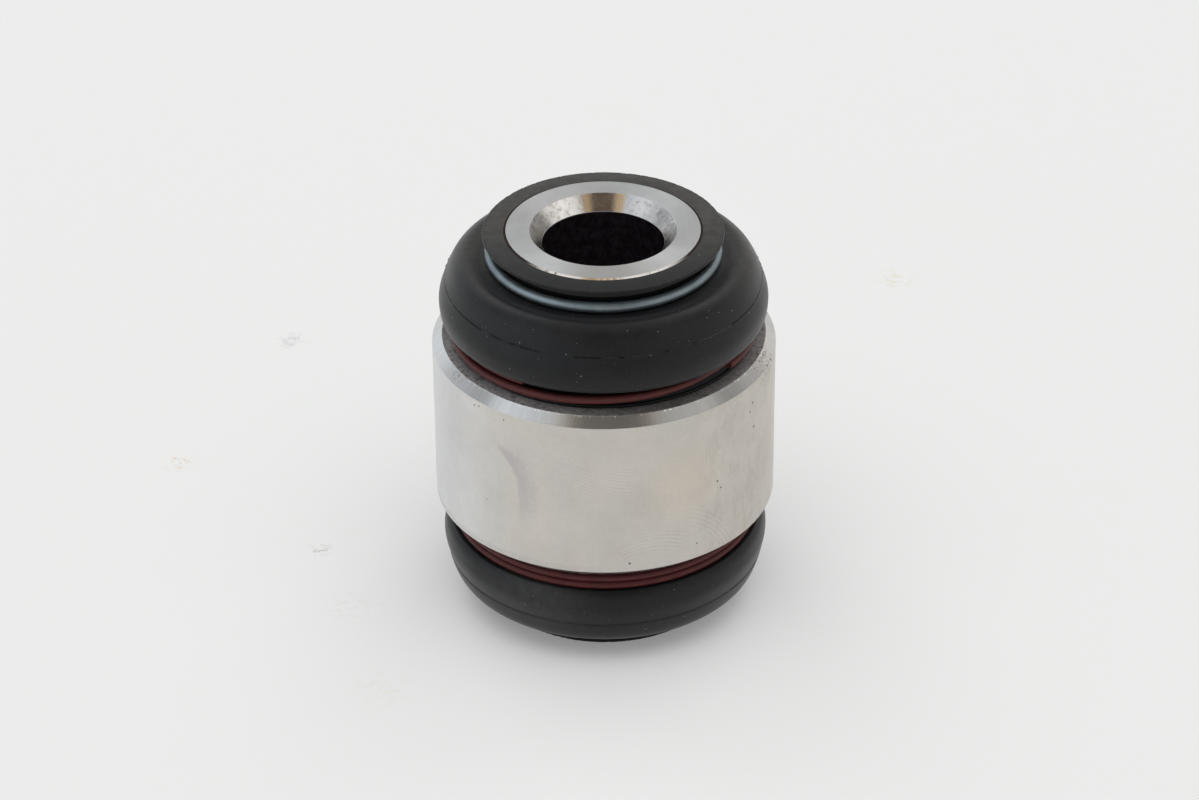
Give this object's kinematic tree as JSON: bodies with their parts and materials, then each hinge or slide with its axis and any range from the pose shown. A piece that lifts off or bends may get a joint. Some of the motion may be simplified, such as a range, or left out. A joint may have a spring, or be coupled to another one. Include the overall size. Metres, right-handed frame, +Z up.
{
  "type": "sleeve ball-joint bush",
  "caption": "Ball-joint bush: bored steel sleeve swivelling in a ground steel housing, with wire-clamped rubber boots at both ends.",
  "frame": {"origin": "centre of the ball, on the bore axis halfway between the sleeve's two end faces", "axes": "+Z up along the bore axis, from the closed-in end of the housing towards its shouldered end; +X and +Y across the bore, the tilt hinge lying along X"},
  "size_m": [0.04, 0.04, 0.0486],
  "materials": {
    "sleeve_steel": "faced and countersunk, bare",
    "housing_steel": "ground",
    "seat_plastic": "moulded",
    "closing_steel": "turned",
    "boot_rubber": "moulded, slightly dusty",
    "housing_wire": "red-brown coated wire",
    "neck_wire": "plated wire"
  },
  "bodies": {
    "sleeve": {"ball_sleeve": "sleeve_steel"},
    "neck_clamps": {"upper_neck_ring": "neck_wire", "lower_neck_ring": "neck_wire"},
    "housing": {"outer_housing": "housing_steel", "ball_seat": "seat_plastic", "closing_ring": "closing_steel", "upper_boot": "boot_rubber", "lower_boot": "boot_rubber", "upper_housing_ring": "housing_wire", "lower_housing_ring": "housing_wire"}
  },
  "joints": [
    {"name": "spin", "type": "hinge", "parent": "sleeve", "child": "neck_clamps", "pos_m": [0, 0, 0], "axis": [0, 0, 1], "continuous": true},
    {"name": "tilt", "type": "hinge", "parent": "neck_clamps", "child": "housing", "pos_m": [0, 0, 0], "axis": [1, 0, 0], "range_deg": [-12, 12], "deforming": ["upper_boot", "lower_boot"]}
  ]
}
